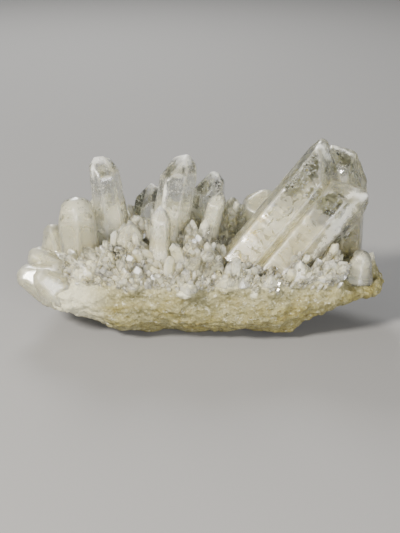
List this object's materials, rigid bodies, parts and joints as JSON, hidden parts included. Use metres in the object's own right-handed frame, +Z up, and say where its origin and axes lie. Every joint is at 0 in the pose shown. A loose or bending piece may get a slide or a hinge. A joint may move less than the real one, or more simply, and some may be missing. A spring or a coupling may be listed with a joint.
{
  "type": "quartz crystal cluster",
  "caption": "Free-standing natural quartz cluster: clear-tipped milky points on a boat-shaped plate of cream massive quartz, one leaning group of large points at one end.",
  "frame": {"origin": "middle of the bounding box in plan, on the surface that the broken flat of the plate rests on", "axes": "+Z up, +X along the plate towards the leaning group of large points, -Y towards the viewer of the pictured side"},
  "size_m": [0.0796, 0.038, 0.0405],
  "materials": {
    "plate_quartz": "sugary broken massive quartz, cream with ochre iron stain, matt with small glints",
    "milky_quartz": "glossy crystal faces over cloudy white quartz",
    "clear_quartz": "glossy crystal faces, clear at the tip and cloudy towards the root"
  },
  "bodies": {
    "root": {"matrix": "plate_quartz", "great_points": "clear_quartz", "left_point": "clear_quartz", "left_end_points": "milky_quartz", "rear_small_point": "clear_quartz", "centre_point": "clear_quartz", "front_point": "clear_quartz", "middle_point": "clear_quartz", "inner_point": "milky_quartz", "rear_milky_points": "milky_quartz", "front_left_stub_point": "milky_quartz", "right_knob_point": "clear_quartz", "back_left_point": "milky_quartz", "back_middle_point": "milky_quartz", "back_right_point": "milky_quartz", "back_end_point": "milky_quartz"}
  },
  "joints": []
}
